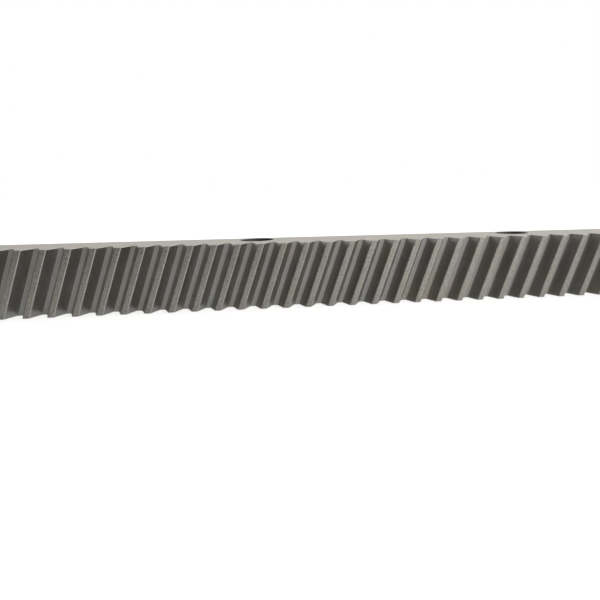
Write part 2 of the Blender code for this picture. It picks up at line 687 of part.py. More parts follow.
def main():
    clear_scene()
    parts = new_collection("rack_and_pinion")
    cutters = new_collection("cutters")
    cutters.hide_render = True
    axis_foot = (HOME_X, AXIS_Y, 0)
    carriage = new_object("carriage_frame", None, parts, None, axis_foot)
    spindle = new_object("pinion_axis", None, parts, None, axis_foot)
    cages = new_object("cage_axis", None, parts, None, axis_foot)

    build_rack(parts, cutters)
    build_pinion(parts, cutters, spindle)
    build_shaft(parts, cutters, spindle)
    build_keys(parts, spindle)
    build_shaft_hardware(parts, cutters, spindle)
    build_housing(parts, cutters, carriage)
    build_nipple(parts, carriage)
    build_covers(parts, cutters, carriage)
    build_cover_screws(parts, cutters, carriage)
    build_seals(parts, carriage)
    for which, middle in (("lower", LOWER_BEARING_MID), ("upper", UPPER_BEARING_MID)):
        build_bearing(which, middle, parts, cutters, (spindle, carriage, cages))


main()
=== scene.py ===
"""Looks of a helical gear rack and the pinion unit that runs along it.

The bar and the pinion are rebuilt here with chamfered tooth tips and rounded roots. Every other piece is
the frame's own node with a small bevel and a procedural finish. All lengths are in metres, in the frame's
axes.
"""

import json
import math

import bmesh
import bpy
from mathutils import Matrix, Vector


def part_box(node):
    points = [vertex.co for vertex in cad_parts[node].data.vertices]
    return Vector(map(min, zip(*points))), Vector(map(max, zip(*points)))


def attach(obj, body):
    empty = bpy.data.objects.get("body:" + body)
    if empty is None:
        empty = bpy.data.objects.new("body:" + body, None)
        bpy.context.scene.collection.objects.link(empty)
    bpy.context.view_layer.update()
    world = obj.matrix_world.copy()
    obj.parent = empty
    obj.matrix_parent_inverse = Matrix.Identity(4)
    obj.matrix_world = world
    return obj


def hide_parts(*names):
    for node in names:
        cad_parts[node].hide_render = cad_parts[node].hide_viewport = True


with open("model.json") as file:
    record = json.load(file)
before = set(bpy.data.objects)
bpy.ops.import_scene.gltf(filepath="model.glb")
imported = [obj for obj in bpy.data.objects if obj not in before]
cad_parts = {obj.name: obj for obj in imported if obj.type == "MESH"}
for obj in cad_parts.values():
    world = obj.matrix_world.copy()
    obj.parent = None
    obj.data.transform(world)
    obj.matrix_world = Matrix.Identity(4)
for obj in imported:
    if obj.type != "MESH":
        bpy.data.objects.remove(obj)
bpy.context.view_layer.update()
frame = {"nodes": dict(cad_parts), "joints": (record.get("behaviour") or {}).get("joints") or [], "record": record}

MM = 0.001

# Gearing, with the bar's size read from its node and the pinion's place from its joint
MODULE = 3 * MM
PITCH = 10 * MM
HELIX = math.acos(math.pi * MODULE / PITCH)
LEAN = math.tan(HELIX)
PRESSURE_ANGLE = math.atan(math.tan(math.radians(20)) / math.cos(HELIX))
ADDENDUM = MODULE
DEDENDUM = 1.25 * MODULE
PINION_TEETH = 20
PITCH_RADIUS = PINION_TEETH * PITCH / (2 * math.pi)
BACKLASH = 0.3 * MM
BAR_LOW, BAR_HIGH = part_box("rack_bar")
BAR_LENGTH = BAR_HIGH.x - BAR_LOW.x
JOINTS = {joint["name"]: joint for joint in frame["joints"]}
PINION_AXIS = Vector(JOINTS["pinion_spin"]["pos_m"][:2]).to_3d()

# Edges of the bar
TIP_CHAMFER_WIDTH = 0.28 * MM
TIP_CHAMFER_DEPTH = 0.15 * MM
ROOT_ROUND = 0.25 * MM
END_CHAMFER = 0.12 * MM
BAR_EDGE = 0.6 * MM
ARC_STEPS = 4

# Fixing holes of the bar
HOLE_Y = BAR_HIGH.y - 9 * MM
SCREW_HOLES = 4
SCREW_HOLE_SPACING = 125 * MM
SCREW_HOLE_RADIUS = 4.5 * MM
COUNTERBORE_RADIUS = 7.75 * MM
COUNTERBORE_DEPTH = 9 * MM
MOUTH_CHAMFER = 0.25 * MM
EXIT_CHAMFER = 0.4 * MM
DOWEL_HOLE_RADIUS = 3.85 * MM
DOWEL_INSET = 35 * MM

# Pinion teeth, whose roots are wider than the start of the flanks by an angle in radians
FLANK_STEPS = 9
HELIX_LAYERS = 12
PINION_TIP_ROUND = 0.24 * MM
PINION_ROOT_ROUND = 0.6 * MM
PINION_ROOT_ANGLE = 0.012
PINION_END_CHAMFER = 0.2 * MM

# Pinion blank, with heights from the bar's lower side face
PINION_BLANK_CHAMFER = 0.9 * MM
PINION_BORE_RADIUS = 12.5 * MM
PINION_MOUTH = 0.6 * MM
RECESS_RADIUS = 18 * MM
RECESS_TOP = 6.5 * MM
KEYWAY_REACH = 15.8 * MM
KEYWAY_HALF_WIDTH = 4 * MM
KEYWAY_LOW = 5 * MM

# Cutting tools: how far they run past a face they cut through, and clear of a face they leave alone
PAST = 1 * MM
CLEAR = 0.01 * MM
MERGE = 0.001 * MM
HOLE_FACETS = 64
BORE_FACETS = 96
BLANK_FACETS = 180

# Rounding and smoothing of faces
BAR_SMOOTHING = math.radians(18)
PINION_SMOOTHING = math.radians(28)
FRAME_SMOOTHING = math.radians(50)
BEVEL_ABOVE = math.radians(35)
SAME_FACE = math.radians(0.5)
FRAME_EDGE = 0.2 * MM
SMALL_FRAME_EDGE = 0.12 * MM
FRAME_MERGE = 0.0005 * MM
AREA_WEIGHT = 80

# Steel: colour of the cut teeth, colour of the ground faces, roughness
RACK_STEEL = ((0.492, 0.49, 0.484), (0.43, 0.424, 0.407), 0.36)
PINION_STEEL = ((0.54, 0.53, 0.515), (0.46, 0.452, 0.44), 0.34)

# Steel: scales of the noises, marks as scales along X, Y and Z
TOOTH_MARKS = (4200, 3000, 130)
GROUND_MARKS = (120, 3600, 3600)
GRAIN_SCALE = 1100.0
FLECK_SCALE = 2.3 * GRAIN_SCALE
CLOUD_SCALE = 70.0
WARMTH_SCALE = 90.0

# Steel: a mask of the lands or holes starts at one distance and is full at the other
MASK_STARTS = 0.20 * MM
MASK_FULL = 0.05 * MM
PINION_TIP_FULL = 0.08 * MM

# Steel: depths of the bumps, tints and strengths
MARK_DEPTH = 0.006 * MM
GRAIN_DEPTH = 0.020 * MM
COOL_TINT = (0.993, 0.996, 0.986, 1.0)
WARM_TINT = (1.0, 0.972, 0.918, 1.0)
# The hole colour is painted shade: it darkens the walls and seats of the holes
HOLE_PAINTED_SHADE = (0.42, 0.42, 0.41, 1.0)
ROOT_COARSER = 0.22
GROUND_COARSER = 0.12
FACE_EVENNESS = 0.7
# Strength of the painted highlight on the tip chamfers that face +X
PAINTED_HIGHLIGHT_STRENGTH = 0.5

# Studio: a band of the floor glows, most along the line CARD_Y, with the strengths CARD_GLOW at CARD_X
FLOOR_DROP = 0.2 * MM
FLOOR_RADIUS = 6.0
FLOOR_COLOUR = (0.62, 0.61, 0.59, 1.0)
FLOOR_LIFT = 0.80
CARD_Y = -30 * MM
CARD_REACH = 140 * MM
CARD_X = (-50 * MM, 150 * MM)
CARD_GLOW = (0.29, 0.36)
WHITE = (1.0, 1.0, 1.0, 1.0)
SKY_COLOUR = (1.0, 0.98, 0.94, 1.0)
BRIGHT_SIDE = (0.55, 0.83, 0.05)
SKY_RAMP = (-0.40, 0.70)
SKY_STRENGTH = (0.05, 1.10)
LIGHT_COLOUR = (1.0, 0.98, 0.95)

# Lights: place, target, size and power
OVERHEAD = ((0.38, -0.10, 0.42), (0.38, -0.10, 0), 0.5, 0.7)
FRONT_KEY = ((0.24, -0.58, 0.125), (0.07, 0, 0), 0.45, 0.92)

# Camera, fitted to the photo's tooth edges
CAMERA_PLACE = (-0.05225, -0.25540, 0.05235)
CAMERA_ANGLES = (78.386, 0.957, -6.967)
LENS = 32.877
SHIFT_X = -0.075


# ---------------------------------------------------------------- outlines


def rounded(corners, closed):
    """Points along a polyline of (x, y, radius) corners, with an arc at each corner that has a radius."""
    points = []
    count = len(corners)
    for index, (x, y, radius) in enumerate(corners):
        here = Vector((x, y))
        at_end = not closed and index in (0, count - 1)
        if radius == 0 or at_end:
            points.append(here)
            continue
        into = (here - Vector(corners[index - 1][:2])).normalized()
        out = (Vector(corners[(index + 1) % count][:2]) - here).normalized()
        turn = into.angle_signed(out)
        reach = radius * math.tan(abs(turn) / 2)
        start = here - into * reach
        side = Vector((into.y, -into.x)) * (1 if turn > 0 else -1)
        centre = start + side * radius
        for step in range(ARC_STEPS + 1):
            swing = Matrix.Rotation(-turn * step / ARC_STEPS, 2)
            points.append(centre + swing @ (start - centre))
    return points


def inset(points, distance, closed):
    """The outline moved sideways, to its left when distance is positive."""
    count = len(points)
    moved = []
    for index, here in enumerate(points):
        before = points[index - 1] if closed or index > 0 else None
        after = points[(index + 1) % count] if closed or index < count - 1 else None
        into = (here - before).normalized() if before is not None else (after - here).normalized()
        out = (after - here).normalized() if after is not None else into
        left = Vector((-(into.y + out.y), into.x + out.x)).normalized()
        mitre = max(0.5, left.dot(Vector((-into.y, into.x))))
        moved.append(here + left * distance / mitre)
    return moved


# ---------------------------------------------------------------- mesh helpers


def new_piece(name, bm, body):
    mesh = bpy.data.meshes.new(name)
    bm.to_mesh(mesh)
    bm.free()
    obj = bpy.data.objects.new(name, mesh)
    bpy.context.scene.collection.objects.link(obj)
    if body:
        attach(obj, body)
    return obj


def stacked(loops):
    """A closed body through closed loops of points, one above the other."""
    bm = bmesh.new()
    rows = [[bm.verts.new(point) for point in loop] for loop in loops]
    count = len(rows[0])
    for lower, upper in zip(rows, rows[1:]):
        for index in range(count):
            other = (index + 1) % count
            bm.faces.new((lower[index], lower[other], upper[other], upper[index]))
    bm.faces.new(rows[0])
    bm.faces.new(rows[-1])
    bmesh.ops.recalc_face_normals(bm, faces=bm.faces[:])
    return bm


def turned_tool(bm, outline, centre, facets):
    """Adds a closed body turned from (radius, height) points about a vertical axis, both ends on it."""
    verts = [bm.verts.new((centre[0] + radius, centre[1], height)) for radius, height in outline]
    edges = [bm.edges.new(pair) for pair in zip(verts, verts[1:])]
    bmesh.ops.spin(
        bm,
        geom=verts + edges,
        cent=(centre[0], centre[1], 0),
        axis=(0, 0, 1),
        angle=2 * math.pi,
        steps=facets,
        use_merge=True,
    )
    bmesh.ops.remove_doubles(bm, verts=bm.verts[:], dist=MERGE)
    bmesh.ops.recalc_face_normals(bm, faces=bm.faces[:])


def box_tool(low, high):
    bm = bmesh.new()
    size = [b - a for a, b in zip(low, high)]
    middle = [(a + b) / 2 for a, b in zip(low, high)]
    bmesh.ops.create_cube(bm, size=1, matrix=Matrix.Translation(middle) @ Matrix.Diagonal((*size, 1)))
    return bm


def carve(target, bm, operation="DIFFERENCE"):
    """Cuts the piece with the tool that bm holds, or keeps what lies inside it."""
    bmesh.ops.recalc_face_normals(bm, faces=bm.faces[:])
    tool = new_piece("tool", bm, None)
    boolean = target.modifiers.new("cut", "BOOLEAN")
    boolean.operation = operation
    boolean.solver = "EXACT"
    boolean.object = tool
    settle(target)
    bpy.data.objects.remove(tool)


def settle(obj):
    """Turns the piece's modifiers into its mesh."""
    bpy.context.view_layer.update()
    depsgraph = bpy.context.evaluated_depsgraph_get()
    mesh = bpy.data.meshes.new_from_object(obj.evaluated_get(depsgraph))
    obj.modifiers.clear()
    obj.data = mesh


def smooth(obj, angle):
    """Smooth shading with flat faces kept flat."""
    obj.data.shade_smooth()
    obj.data.set_sharp_from_angle(angle=angle)
    weighted = obj.modifiers.new("flat_faces", "WEIGHTED_NORMAL")
    weighted.keep_sharp = True
    weighted.weight = AREA_WEIGHT


# ---------------------------------------------------------------- rack bar


def gap_corners(centre):
    """One tooth gap seen from above, from its left tip edge to its right one, both finely chamfered."""
    slope = math.tan(PRESSURE_ANGLE)
    mouth = PITCH / 4 + ADDENDUM * slope
    floor = PITCH / 4 - DEDENDUM * slope
    tip_y, root_y = BAR_LOW.y, BAR_LOW.y + ADDENDUM + DEDENDUM
    chamfer_x, chamfer_y = TIP_CHAMFER_DEPTH * slope, tip_y + TIP_CHAMFER_DEPTH
    return [
        (centre - mouth - TIP_CHAMFER_WIDTH, tip_y, 0),
        (centre - mouth + chamfer_x, chamfer_y, 0),
        (centre - floor, root_y, ROOT_ROUND),
        (centre + floor, root_y, ROOT_ROUND),
        (centre + mouth - chamfer_x, chamfer_y, 0),
        (centre + mouth + TIP_CHAMFER_WIDTH, tip_y, 0),
    ]


def toothed_prism():
    """An overlong bar with leaning teeth, whose side faces meet the tooth outline in a fine chamfer."""
    spare_gaps = 2
    gaps = round(BAR_LENGTH / PITCH) // 2 + spare_gaps
    front = [corner for index in range(-gaps, gaps + 1) for corner in gap_corners(index * PITCH)]
    outer = rounded(front, closed=False)
    inner = inset(outer, END_CHAMFER, closed=False)
    back_y = BAR_HIGH.y + 2 * PAST
    loops = []
    for height, line in (
        (BAR_LOW.z, inner),
        (BAR_LOW.z + END_CHAMFER, outer),
        (BAR_HIGH.z - END_CHAMFER, outer),
        (BAR_HIGH.z, inner),
    ):
        shift = (height - (BAR_LOW.z + BAR_HIGH.z) / 2) * LEAN
        loop = [(point.x + shift, point.y, height) for point in line]
        ends = [(line[-1].x + shift, back_y, height), (line[0].x + shift, back_y, height)]
        loops.append(loop + ends)
    return stacked(loops)


def bar_blank():
    """The plain bar, with chamfers along its back edges and around its ends."""
    blank = box_tool(BAR_LOW, BAR_HIGH)
    edges = [
        edge
        for edge in blank.edges
        if min(vert.co.y for vert in edge.verts) > 0 or edge.calc_length() < BAR_LENGTH / 2
    ]
    bmesh.ops.bevel(blank, geom=edges, offset=BAR_EDGE, segments=2, affect="EDGES", profile=0.5)
    return blank


def bar_holes():
    """Four counterbored screw holes and two plain dowel holes."""
    seat = BAR_HIGH.z - COUNTERBORE_DEPTH
    above, below = BAR_HIGH.z + PAST, BAR_LOW.z - PAST
    counterbored = [
        (0, above),
        (COUNTERBORE_RADIUS + MOUTH_CHAMFER, above),
        (COUNTERBORE_RADIUS + MOUTH_CHAMFER, BAR_HIGH.z),
        (COUNTERBORE_RADIUS, BAR_HIGH.z - MOUTH_CHAMFER),
        (COUNTERBORE_RADIUS, seat),
        (SCREW_HOLE_RADIUS, seat),
        (SCREW_HOLE_RADIUS, BAR_LOW.z + EXIT_CHAMFER),
        (SCREW_HOLE_RADIUS + EXIT_CHAMFER, BAR_LOW.z),
        (SCREW_HOLE_RADIUS + EXIT_CHAMFER, below),
        (0, below),
    ]
    plain = [(0, above), (DOWEL_HOLE_RADIUS, above), (DOWEL_HOLE_RADIUS, below), (0, below)]
    holes = bmesh.new()
    for index in range(SCREW_HOLES):
        from_middle = index - (SCREW_HOLES - 1) / 2
        turned_tool(holes, counterbored, (from_middle * SCREW_HOLE_SPACING, HOLE_Y), HOLE_FACETS)
    for side in (-1, 1):
        turned_tool(holes, plain, (side * (BAR_LENGTH / 2 - DOWEL_INSET), HOLE_Y), HOLE_FACETS)
    return holes


def rack_surface():
    bar = new_piece("rack_bar_surface", toothed_prism(), "rack")
    carve(bar, bar_blank(), "INTERSECT")
    carve(bar, bar_holes())
    smooth(bar, BAR_SMOOTHING)
    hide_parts("rack_bar")
    return bar


# ---------------------------------------------------------------- pinion


def involute(angle):
    return math.tan(angle) - angle


def pinion_corners():
    """The pinion's end outline, anticlockwise, as rounded corners, with a tooth centred on +X."""
    base_radius = PITCH_RADIUS * math.cos(PRESSURE_ANGLE)
    root_radius = PITCH_RADIUS - DEDENDUM
    tip_radius = PITCH_RADIUS + ADDENDUM
    half_tooth = (PITCH / 2 - BACKLASH) / 2 / PITCH_RADIUS + involute(PRESSURE_ANGLE)
    rising = [(root_radius, half_tooth + PINION_ROOT_ANGLE, PINION_ROOT_ROUND)]
    for step in range(FLANK_STEPS + 1):
        radius = base_radius + (tip_radius - base_radius) * step / FLANK_STEPS
        edge = PINION_TIP_ROUND if step == FLANK_STEPS else 0
        rising.append((radius, half_tooth - involute(math.acos(base_radius / radius)), edge))
    tooth = [(radius, -angle, edge) for radius, angle, edge in rising] + list(reversed(rising))
    tooth_pitch = 2 * math.pi / PINION_TEETH
    return [
        (
            radius * math.cos(angle + index * tooth_pitch),
            radius * math.sin(angle + index * tooth_pitch),
            edge,
        )
        for index in range(PINION_TEETH)
        for radius, angle, edge in tooth
    ]


def toothed_cylinder(low, high):
    """The pinion's outline drawn up along its helix, with a fine chamfer at both ends."""
    outer = rounded(pinion_corners(), closed=True)
    inner = inset(outer, PINION_END_CHAMFER, closed=True)
    straight = high - low - 2 * PINION_END_CHAMFER
    levels = [(low, inner)]
    for step in range(HELIX_LAYERS + 1):
        levels.append((low + PINION_END_CHAMFER + straight * step / HELIX_LAYERS, outer))
    levels.append((high, inner))
    middle = (BAR_LOW.z + BAR_HIGH.z) / 2
    loops = []
    for height, line in levels:
        turn = math.pi / 2 - (height - middle) * LEAN / PITCH_RADIUS
        spun = [Matrix.Rotation(turn, 2) @ point for point in line]
        loops.append([(PINION_AXIS.x + point.x, PINION_AXIS.y + point.y, height) for point in spun])
    return stacked(loops)


def pinion_blank(low, high):
    """The turned blank, whose chamfers cut the corners off the teeth's ends."""
    radius = PITCH_RADIUS + ADDENDUM + 2 * CLEAR
    outline = [
        (0, high + CLEAR),
        (radius - PINION_BLANK_CHAMFER, high + CLEAR),
        (radius, high - PINION_BLANK_CHAMFER),
        (radius, low + PINION_BLANK_CHAMFER),
        (radius - PINION_BLANK_CHAMFER, low - CLEAR),
        (0, low - CLEAR),
    ]
    blank = bmesh.new()
    turned_tool(blank, outline, PINION_AXIS, BLANK_FACETS)
    return blank


def pinion_hollow(low, high):
    """The bore, with a wider recess for the end washer below it."""
    outline = [
        (0, high + PAST),
        (PINION_BORE_RADIUS + PINION_MOUTH, high + PAST),
        (PINION_BORE_RADIUS + PINION_MOUTH, high),
        (PINION_BORE_RADIUS, high - PINION_MOUTH),
        (PINION_BORE_RADIUS, RECESS_TOP),
        (RECESS_RADIUS, RECESS_TOP),
        (RECESS_RADIUS, low + PINION_MOUTH),
        (RECESS_RADIUS + PINION_MOUTH, low),
        (RECESS_RADIUS + PINION_MOUTH, low - PAST),
        (0, low - PAST),
    ]
    hollow = bmesh.new()
    turned_tool(hollow, outline, PINION_AXIS, BORE_FACETS)
    return hollow


def pinion_surface():
    low, high = (corner.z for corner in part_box("pinion_gear"))
    gear = new_piece("pinion_gear_surface", toothed_cylinder(low, high), "pinion")
    carve(gear, pinion_blank(low, high), "INTERSECT")
    carve(gear, pinion_hollow(low, high))
    near = PINION_AXIS + Vector((0, -KEYWAY_HALF_WIDTH, KEYWAY_LOW))
    far = PINION_AXIS + Vector((KEYWAY_REACH, KEYWAY_HALF_WIDTH, high + PAST))
    carve(gear, box_tool(near, far))
    smooth(gear, PINION_SMOOTHING)
    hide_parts("pinion_gear")
    return gear


# ---------------------------------------------------------------- materials


class Nodes:
    """A short way to write a material's node tree."""

    def __init__(self, name):
        self.material = bpy.data.materials.new(name)
        self.material.use_nodes = True
        self.tree = self.material.node_tree
        self.shader = self.tree.nodes["Principled BSDF"]

    def add(self, kind, inputs=(), **settings):
        node = self.tree.nodes.new(kind)
        for name, value in settings.items():
            setattr(node, name, value)
        for key, value in dict(inputs).items():
            self.put(value, node.inputs[key])
        return node

    def put(self, value, socket):
        if isinstance(value, bpy.types.NodeSocket):
            self.tree.links.new(value, socket)
        else:
            socket.default_value = value

    def place(self):
        """The point that is shaded, in the frame's axes."""
        return self.add("ShaderNodeTexCoord").outputs["Object"]

    def normal(self):
        return self.add("ShaderNodeNewGeometry").outputs["Normal"]

    def split(self, vector):
        return self.add("ShaderNodeSeparateXYZ", {0: vector}).outputs

    def join(self, x=0.0, y=0.0, z=0.0):
        return self.add("ShaderNodeCombineXYZ", {0: x, 1: y, 2: z}).outputs[0]

    def length(self, vector):
        return self.add("ShaderNodeVectorMath", {0: vector}, operation="LENGTH").outputs["Value"]

    def math(self, operation, first, second=0.0):
        return self.add("ShaderNodeMath", {0: first, 1: second}, operation=operation).outputs[0]

    def average(self, first, second):
        return self.math("ADD", self.math("MULTIPLY", first, 0.5), self.math("MULTIPLY", second, 0.5))

    def remap(self, value, low, high, to_low, to_high):
        fields = {"Value": value, "From Min": low, "From Max": high, "To Min": to_low, "To Max": to_high}
        return self.add("ShaderNodeMapRange", fields).outputs["Result"]

    def noise(self, vector, scale, detail=3.0, roughness=0.55):
        fields = {"Vector": vector, "Scale": scale, "Detail": detail, "Roughness": roughness}
        return self.add("ShaderNodeTexNoise", fields).outputs["Fac"]

    def mix(self, factor, first, second):
        """A colour between two colours."""
        node = self.add("ShaderNodeMix", {"Factor": factor}, data_type="RGBA")
        self.put(first, node.inputs[6])
        self.put(second, node.inputs[7])
        return node.outputs[2]

    def mix_value(self, factor, first, second):
        fields = {"Factor": factor, 2: first, 3: second}
        return self.add("ShaderNodeMix", fields, data_type="FLOAT").outputs[0]

    def toned(self, tone, spread, darker, lighter):
        """A colour that follows a noise, whose values lie within the spread around one half."""
        return self.mix(self.remap(tone, 0.5 - spread, 0.5 + spread, 0.0, 1.0), darker, lighter)

    def tinted(self, colour, tint):
        node = self.add("ShaderNodeMix", {"Factor": 1.0}, data_type="RGBA", blend_type="MULTIPLY")
        self.put(colour, node.inputs[6])
        self.put(tint, node.inputs[7])
        return node.outputs[2]

    def stretched(self, vector, factors):
        return self.add("ShaderNodeVectorMath", {0: vector, 1: factors}, operation="MULTIPLY").outputs[0]

    def bump(self, height, depth, strength=1.0, normal=None):
        """A bump whose height of 0 to 1 stands for a depth in metres."""
        node = self.add("ShaderNodeBump", {"Height": height, "Distance": depth, "Strength": strength})
        if normal is not None:
            self.put(normal, node.inputs["Normal"])
        return node.outputs["Normal"]

    def finish(self, fields):
        """Fills the shader's sockets, and returns the material."""
        for name, value in fields.items():
            self.put(value, self.shader.inputs[name])
        return self.material


def edge_mask(nodes, radius):
    """Is 1 on edges and 0 on faces: how far a rounded normal is from the true one."""
    rounded_normal = nodes.add("ShaderNodeBevel", {"Radius": radius}, samples=4).outputs[0]
    fields = {0: rounded_normal, 1: nodes.normal()}
    facing = nodes.add("ShaderNodeVectorMath", fields, operation="DOT_PRODUCT").outputs["Value"]
    return nodes.remap(facing, 0.995, 0.90, 0.0, 1.0)


def from_pinion_axis(nodes, place):
    """The distance from the pinion's axis, and the height."""
    offset = nodes.add("ShaderNodeVectorMath", {0: place, 1: tuple(PINION_AXIS)}, operation="SUBTRACT")
    x, y, z = nodes.split(offset.outputs[0])
    return nodes.length(nodes.join(x, y)), z


def shades(colour, *factors):
    """A colour made darker or lighter by each factor."""
    return [tuple(min(1.0, channel * factor) for channel in colour) + (1.0,) for factor in factors]


def rack_masks(nodes, place, normal):
    """Masks of the bar's ground tip lands, milled root lands, screw holes, and the tip chamfers facing +X that get
    a painted highlight.
    """
    x, y, _ = nodes.split(place)
    root = BAR_LOW.y + ADDENDUM + DEDENDUM
    on_tip = nodes.remap(y, BAR_LOW.y + MASK_STARTS, BAR_LOW.y + MASK_FULL, 0.0, 1.0)
    on_root = nodes.remap(y, root - MASK_STARTS, root - MASK_FULL, 0.0, 1.0)
    half_spacing = SCREW_HOLE_SPACING / 2
    along = nodes.math("PINGPONG", nodes.math("ADD", x, half_spacing), half_spacing)
    from_hole = nodes.length(nodes.join(along, nodes.math("SUBTRACT", y, HOLE_Y)))
    rim = COUNTERBORE_RADIUS + MOUTH_CHAMFER
    in_hole = nodes.remap(from_hole, rim, rim - MASK_FULL, 0.0, 1.0)
    # Painted highlight: the tip chamfers that face +X are made brighter
    painted_highlight = nodes.math("MULTIPLY", on_tip, nodes.remap(normal[0], 0.15, 0.30, 0.0, 1.0))
    return on_tip, on_root, in_hole, painted_highlight


def pinion_masks(nodes, place, _normal):
    """The same masks on the pinion, which has a bore for a hole and no painted highlight on its edges."""
    radius, _ = from_pinion_axis(nodes, place)
    tip = PITCH_RADIUS + ADDENDUM
    root = PITCH_RADIUS - DEDENDUM
    rim = PINION_BORE_RADIUS + PINION_MOUTH
    on_tip = nodes.remap(radius, tip - MASK_STARTS, tip - PINION_TIP_FULL, 0.0, 1.0)
    on_root = nodes.remap(radius, root + MASK_STARTS, root + MASK_FULL, 0.0, 1.0)
    in_hole = nodes.remap(radius, rim, rim - MASK_FULL, 0.0, 1.0)
    return on_tip, on_root, in_hole, 0.0


def cutter_marks(nodes, place, flat_face):
    """Fine marks that run along the leaning teeth, and along the bar on its ground side faces."""
    x, y, z = nodes.split(place)
    across = nodes.math("SUBTRACT", x, nodes.math("MULTIPLY", z, LEAN))
    tooth_marks = nodes.noise(nodes.stretched(nodes.join(across, y, z), TOOTH_MARKS), 1.0, 4.0, 0.6)
    ground_marks = nodes.noise(nodes.stretched(place, GROUND_MARKS), 1.0, 4.0, 0.6)
    return nodes.mix_value(flat_face, tooth_marks, ground_marks)


def steel_wear_and_highlight(nodes, mottle, in_hole, painted_highlight):
    """How bright an edge is rubbed, broken up by the grain and none in holes, together with a painted highlight on
    the tip chamfers that face +X.
    """
    wear = nodes.math("MULTIPLY", edge_mask(nodes, 0.3 * MM), nodes.remap(mottle, 0.35, 0.6, 0.3, 0.95))
    wear = nodes.math("MULTIPLY", wear, nodes.math("SUBTRACT", 1.0, in_hole))
    return nodes.math("MAXIMUM", wear, nodes.math("MULTIPLY", painted_highlight, PAINTED_HIGHLIGHT_STRENGTH))


def cut_steel(name, cut, ground, roughness, masks):
    """Bare toothed steel: fine marks along the cut teeth, and a coarser mottled grain on ground faces."""
    nodes = Nodes(name)
    place = nodes.place()
    normal = nodes.split(nodes.normal())
    upright = nodes.math("ABSOLUTE", normal[2])
    flat_face = nodes.remap(nodes.math("MAXIMUM", upright, normal[1]), 0.90, 0.97, 0.0, 1.0)
    on_tip, on_root, in_hole, painted_highlight = masks(nodes, place, normal)

    marks = cutter_marks(nodes, place, flat_face)
    mottle = nodes.noise(place, GRAIN_SCALE, 2.0, 0.6)
    cut_tone = nodes.average(marks, nodes.noise(place, CLOUD_SCALE, 4.0, 0.6))
    ground_tone = nodes.average(mottle, nodes.noise(place, FLECK_SCALE, 3.0, 0.6))

    flank_colour = nodes.toned(cut_tone, 0.14, *shades(cut, 0.90, 1.10))
    root_colour = nodes.toned(cut_tone, 0.14, *shades(cut, 1.08, 1.28))
    tip_colour = nodes.toned(ground_tone, 0.12, *shades(ground, 0.69, 1.29))
    face_colour = nodes.toned(cut_tone, 0.14, *shades(ground, 0.90, 1.08))
    evener = nodes.math("MULTIPLY", flat_face, FACE_EVENNESS)
    cut_colour = nodes.mix(on_root, flank_colour, root_colour)
    ground_colour = nodes.mix(evener, tip_colour, face_colour)
    colour = nodes.mix(nodes.math("MAXIMUM", flat_face, on_tip), cut_colour, ground_colour)

    warmth = nodes.remap(nodes.noise(place, WARMTH_SCALE, 3.0, 0.6), 0.42, 0.58, 0.0, 1.0)
    warmth = nodes.mix_value(evener, warmth, 0.5)
    # Painted shade: the holes are darkened
    tint = nodes.mix(in_hole, nodes.mix(warmth, COOL_TINT, WARM_TINT), HOLE_PAINTED_SHADE)
    # Edge wear, together with the painted highlight on the tip chamfers that face +X
    wear = steel_wear_and_highlight(nodes, mottle, in_hole, painted_highlight)
    # The brighter colour for rubbed edges and for the painted highlight
    (rubbed_and_highlight_colour,) = shades(cut, 1.7)

    rough = nodes.remap(marks, 0.3, 0.7, roughness - 0.07, roughness + 0.09)
    rough = nodes.math("ADD", rough, nodes.remap(ground_tone, 0.35, 0.65, -0.04, 0.05))
    coarser = nodes.mix_value(flat_face, nodes.math("MULTIPLY", on_root, ROOT_COARSER), GROUND_COARSER)
    fine = nodes.bump(marks, MARK_DEPTH)
    return nodes.finish({
        "Base Color": nodes.mix(wear, nodes.tinted(colour, tint), rubbed_and_highlight_colour),
        "Metallic": 1.0,
        "Roughness": nodes.math("ADD", rough, coarser),
        "Normal": nodes.bump(ground_tone, GRAIN_DEPTH, nodes.math("SUBTRACT", 1.0, evener), fine),
    })


def turned_metal(name, colour, roughness, depth=0.004 * MM):
    """Metal with rings left by the lathe about the pinion's axis."""
    nodes = Nodes(name)
    place = nodes.place()
    radius, height = from_pinion_axis(nodes, place)
    marks = nodes.noise(nodes.join(radius, 0.0, height), 2600.0, 3.0, 0.6)
    grain = nodes.noise(place, 1800.0, 3.0, 0.6)
    clouds = nodes.noise(place, 55.0, 4.0, 0.55)
    shade = nodes.toned(nodes.average(marks, clouds), 0.15, *shades(colour, 0.82, 1.14))
    bright = tuple(min(1.0, channel * 1.5 + 0.08) for channel in colour) + (1.0,)
    wear = nodes.math("MULTIPLY", edge_mask(nodes, 0.4 * MM), nodes.remap(grain, 0.4, 0.6, 0.1, 0.7))
    ringed = nodes.remap(marks, 0.3, 0.7, -0.06, 0.08)
    rough = nodes.math("ADD", ringed, nodes.remap(clouds, 0.3, 0.7, -0.03, 0.04))
    return nodes.finish({
        "Base Color": nodes.mix(wear, shade, bright),
        "Metallic": 1.0,
        "Roughness": nodes.math("ADD", rough, roughness),
        "Normal": nodes.bump(grain, 0.004 * MM, normal=nodes.bump(marks, depth)),
    })


def black_oxide(name):
    """Blackened steel, brown-blue in patches and rubbed bright on its edges."""
    blue_black, brown_black, rubbed = (0.022, 0.022, 0.026, 1), (0.05, 0.046, 0.044, 1), (0.34, 0.33, 0.32, 1)
    nodes = Nodes(name)
    place = nodes.place()
    grain = nodes.noise(place, 2500.0, 3.0, 0.6)
    patches = nodes.noise(place, 320.0, 3.0, 0.5)
    wear = nodes.math("MULTIPLY", edge_mask(nodes, 0.35 * MM), nodes.remap(grain, 0.42, 0.62, 0.05, 0.8))
    return nodes.finish({
        "Base Color": nodes.mix(wear, nodes.toned(patches, 0.15, blue_black, brown_black), rubbed),
        "Metallic": 0.85,
        "Roughness": nodes.remap(patches, 0.3, 0.7, 0.34, 0.50),
        "Normal": nodes.bump(grain, 0.008 * MM),
    })


